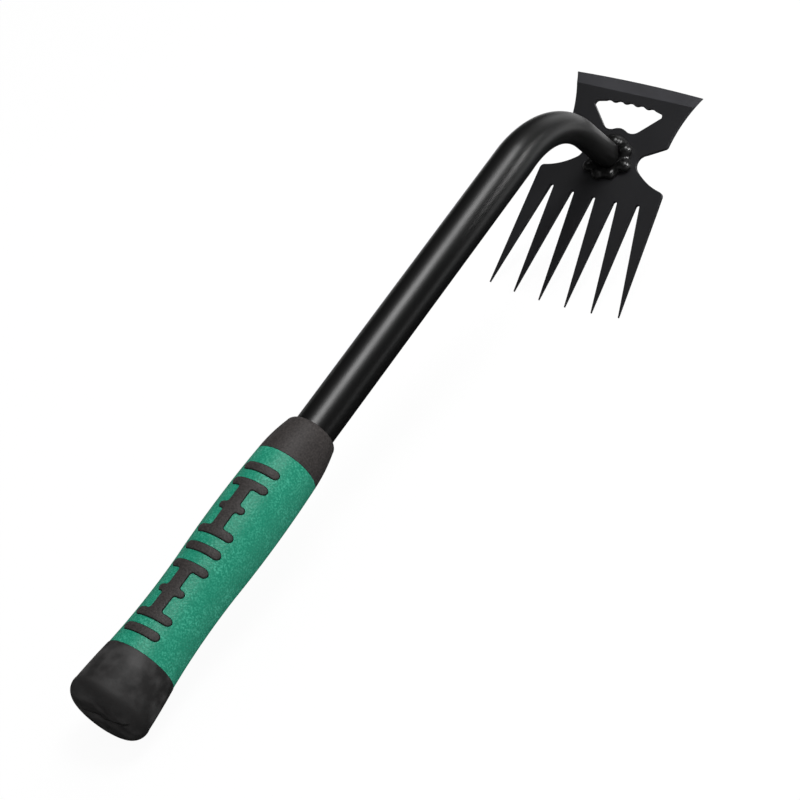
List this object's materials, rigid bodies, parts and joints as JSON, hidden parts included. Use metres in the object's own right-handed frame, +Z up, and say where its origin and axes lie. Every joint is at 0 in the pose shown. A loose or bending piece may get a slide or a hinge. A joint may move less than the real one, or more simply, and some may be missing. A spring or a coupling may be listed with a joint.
{
  "type": "hand cultivator",
  "caption": "One-hand weeding tool: a steel plate with a hoe blade on one side and a rake of tapered tines on the other, on a bent tube with a soft two-colour grip.",
  "frame": {"origin": "centre of the bounding box's base, on the floor that the tine tips and the butt cap rest on", "axes": "+Z up, +Y along the tool from the butt to the head, +X across the head"},
  "size_m": [0.0794, 0.441, 0.1024],
  "materials": {
    "coated_steel_plate": "satin black coating over steel, thin where the blade is ground",
    "weld_metal": "glossy black coating over lumpy weld metal",
    "coated_steel_tube": "satin black coating over steel tube",
    "black_polymer": "fine matt moulded texture",
    "green_rubber": "pebbled soft-touch texture",
    "black_rubber": "smooth matt rubber"
  },
  "bodies": {
    "root": {"head_plate": "coated_steel_plate", "weld_bead": "weld_metal", "handle_tube": "coated_steel_tube", "grip_core": "black_polymer", "grip_sleeve": "green_rubber", "butt_cap": "black_rubber"}
  },
  "joints": []
}
